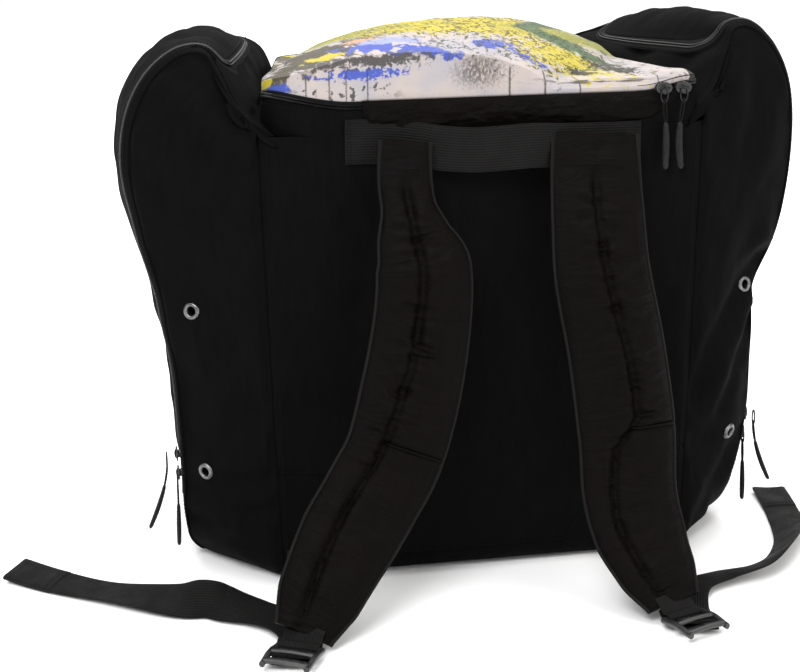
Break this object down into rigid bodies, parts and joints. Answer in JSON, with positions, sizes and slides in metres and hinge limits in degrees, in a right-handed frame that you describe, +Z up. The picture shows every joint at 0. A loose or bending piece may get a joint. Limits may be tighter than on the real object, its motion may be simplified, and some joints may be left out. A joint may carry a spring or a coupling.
{
  "type": "ski boot backpack",
  "caption": "Soft black backpack for ski boots: domed zip lid over a centre compartment, ear-shaped zip pockets at both sides, padded shoulder straps and a haul handle.",
  "frame": {"origin": "centre of the base underside, on the floor it stands on", "axes": "+Z up; -Y out of the back panel, which carries the haul handle and shoulder straps; +X to the right in a view of that panel"},
  "size_m": [0.5921, 0.4148, 0.3761],
  "materials": {
    "shell_fabric": "black plain-weave polyester, matt, slightly slubbed",
    "printed_fabric": "polyester with an abstract colour print",
    "strap_fabric": "black-brown crinkled nylon with a soft sheen",
    "webbing": "ribbed black nylon webbing",
    "lining": "dark grey coated lining cloth",
    "foam": "closed-cell foam sheet",
    "stiffener": "flat plastic sheet",
    "zip_coil": "black nylon coil on woven tape",
    "zip_slider": "black lacquered zinc, worn at the edges",
    "pull_grip": "black cord and moulded soft plastic",
    "buckle": "moulded black acetal",
    "grommet": "rolled eyelet, dull nickel plate"
  },
  "bodies": {
    "bag": {"back_panel": "shell_fabric", "back_foam": "foam", "base_panel": "shell_fabric", "base_board": "stiffener", "front_panel": "printed_fabric", "top_rim": "shell_fabric", "lid_zip_lower": "zip_coil", "lid_hinge_band": "strap_fabric", "left_pocket_back": "shell_fabric", "left_pocket_front": "shell_fabric", "left_pocket_top": "shell_fabric", "left_pocket_sill": "shell_fabric", "left_pocket_zip": "zip_coil", "left_partition": "lining", "left_upper_grommet": "grommet", "left_lower_grommet": "grommet", "left_strap_anchor": "webbing", "left_lower_webbing": "webbing", "right_pocket_back": "shell_fabric", "right_pocket_front": "shell_fabric", "right_pocket_top": "shell_fabric", "right_pocket_sill": "shell_fabric", "right_pocket_zip": "zip_coil", "right_partition": "lining", "right_upper_grommet": "grommet", "right_lower_grommet": "grommet", "right_strap_anchor": "webbing", "right_lower_webbing": "webbing"},
    "lid": {"lid_panel": "printed_fabric", "lid_zip_upper": "zip_coil"},
    "handle": {"haul_handle": "webbing"},
    "left_door": {"left_pocket_door": "shell_fabric", "left_door_zip": "zip_coil"},
    "left_strap": {"left_strap_pad": "strap_fabric", "left_webbing_tail": "webbing"},
    "left_buckle": {"left_ladder_lock": "buckle"},
    "left_upper_slider": {"left_upper_slider": "zip_slider"},
    "left_upper_pull": {"left_upper_tab": "zip_slider", "left_upper_grip": "pull_grip"},
    "left_lower_slider": {"left_lower_slider": "zip_slider"},
    "left_lower_pull": {"left_lower_tab": "zip_slider", "left_lower_grip": "pull_grip"},
    "right_door": {"right_pocket_door": "shell_fabric", "right_door_zip": "zip_coil"},
    "right_strap": {"right_strap_pad": "strap_fabric", "right_webbing_tail": "webbing"},
    "right_buckle": {"right_ladder_lock": "buckle"},
    "right_upper_slider": {"right_upper_slider": "zip_slider"},
    "right_upper_pull": {"right_upper_tab": "zip_slider", "right_upper_grip": "pull_grip"},
    "right_lower_slider": {"right_lower_slider": "zip_slider"},
    "right_lower_pull": {"right_lower_tab": "zip_slider", "right_lower_grip": "pull_grip"},
    "lid_inner_slider": {"lid_inner_slider": "zip_slider"},
    "lid_inner_pull": {"lid_inner_tab": "zip_slider", "lid_inner_grip": "pull_grip"},
    "lid_outer_slider": {"lid_outer_slider": "zip_slider"},
    "lid_outer_pull": {"lid_outer_tab": "zip_slider", "lid_outer_grip": "pull_grip"}
  },
  "joints": [
    {"name": "lid_fold", "type": "hinge", "parent": "bag", "child": "lid", "pos_m": [0, -0.1315, 0.3335], "axis": [1, 0, 0], "range_deg": [0, 110]},
    {"name": "handle_lift", "type": "hinge", "parent": "bag", "child": "handle", "pos_m": [0, -0.1345, 0.3085], "axis": [-1, 0, 0], "range_deg": [0, 90]},
    {"name": "left_door_fold", "type": "hinge", "parent": "bag", "child": "left_door", "pos_m": [-0.19572, -0.00008, 0.04746], "axis": [-0.108, -0.9941, 0], "range_deg": [0, 75]},
    {"name": "right_door_fold", "type": "hinge", "parent": "bag", "child": "right_door", "pos_m": [0.19572, -0.00008, 0.04746], "axis": [-0.108, 0.9941, 0], "range_deg": [0, 75]},
    {"name": "left_strap_swing", "type": "hinge", "parent": "bag", "child": "left_strap", "pos_m": [-0.056, -0.135, 0.303], "axis": [-1, 0, 0], "range_deg": [0, 55]},
    {"name": "right_strap_swing", "type": "hinge", "parent": "bag", "child": "right_strap", "pos_m": [0.071, -0.135, 0.303], "axis": [-1, 0, 0], "range_deg": [0, 55]},
    {"name": "left_buckle_tilt", "type": "hinge", "parent": "left_strap", "child": "left_buckle", "pos_m": [-0.143, -0.237, 0.0125], "axis": [-0.8028, 0.5963, 0], "range_deg": [0, 20]},
    {"name": "right_buckle_tilt", "type": "hinge", "parent": "right_strap", "child": "right_buckle", "pos_m": [0.099, -0.24, 0.0125], "axis": [-0.9438, -0.3304, 0], "range_deg": [0, 20]},
    {"name": "left_upper_slide", "type": "slide", "parent": "bag", "child": "left_upper_slider", "axis": [-0.047, -0.01, 0.9988], "range_m": [0, 0.052]},
    {"name": "left_lower_slide", "type": "slide", "parent": "bag", "child": "left_lower_slider", "axis": [0.044, 0.2, -0.9788], "range_m": [0, 0.01]},
    {"name": "left_upper_pull_swing", "type": "hinge", "parent": "left_upper_slider", "child": "left_upper_pull", "pos_m": [-0.21557, -0.07833, 0.08361], "axis": [-0.01, 1, 0], "range_deg": [0, 100]},
    {"name": "left_lower_pull_swing", "type": "hinge", "parent": "left_lower_slider", "child": "left_lower_pull", "pos_m": [-0.20871, -0.07584, 0.06885], "axis": [-0.004, 1, 0], "range_deg": [0, 15]},
    {"name": "right_upper_slide", "type": "slide", "parent": "bag", "child": "right_upper_slider", "axis": [0.047, -0.01, 0.9988], "range_m": [0, 0.052]},
    {"name": "right_lower_slide", "type": "slide", "parent": "bag", "child": "right_lower_slider", "axis": [-0.044, 0.2, -0.9788], "range_m": [0, 0.01]},
    {"name": "right_upper_pull_swing", "type": "hinge", "parent": "right_upper_slider", "child": "right_upper_pull", "pos_m": [0.21557, -0.07833, 0.08361], "axis": [0.01, -1, 0], "range_deg": [0, 100]},
    {"name": "right_lower_pull_swing", "type": "hinge", "parent": "right_lower_slider", "child": "right_lower_pull", "pos_m": [0.20871, -0.07584, 0.06885], "axis": [0.004, -1, 0], "range_deg": [0, 15]},
    {"name": "lid_inner_slide", "type": "slide", "parent": "bag", "child": "lid_inner_slider", "axis": [-1, 0, 0], "range_m": [0, 0.012]},
    {"name": "lid_outer_slide", "type": "slide", "parent": "bag", "child": "lid_outer_slider", "axis": [1, 0, 0], "range_m": [0, 0.006]},
    {"name": "lid_inner_pull_swing", "type": "hinge", "parent": "lid_inner_slider", "child": "lid_inner_pull", "pos_m": [0.12, -0.135, 0.3317], "axis": [-1, 0, 0], "range_deg": [0, 45]},
    {"name": "lid_outer_pull_swing", "type": "hinge", "parent": "lid_outer_slider", "child": "lid_outer_pull", "pos_m": [0.1335, -0.135, 0.3317], "axis": [-1, 0, 0], "range_deg": [0, 45]}
  ]
}
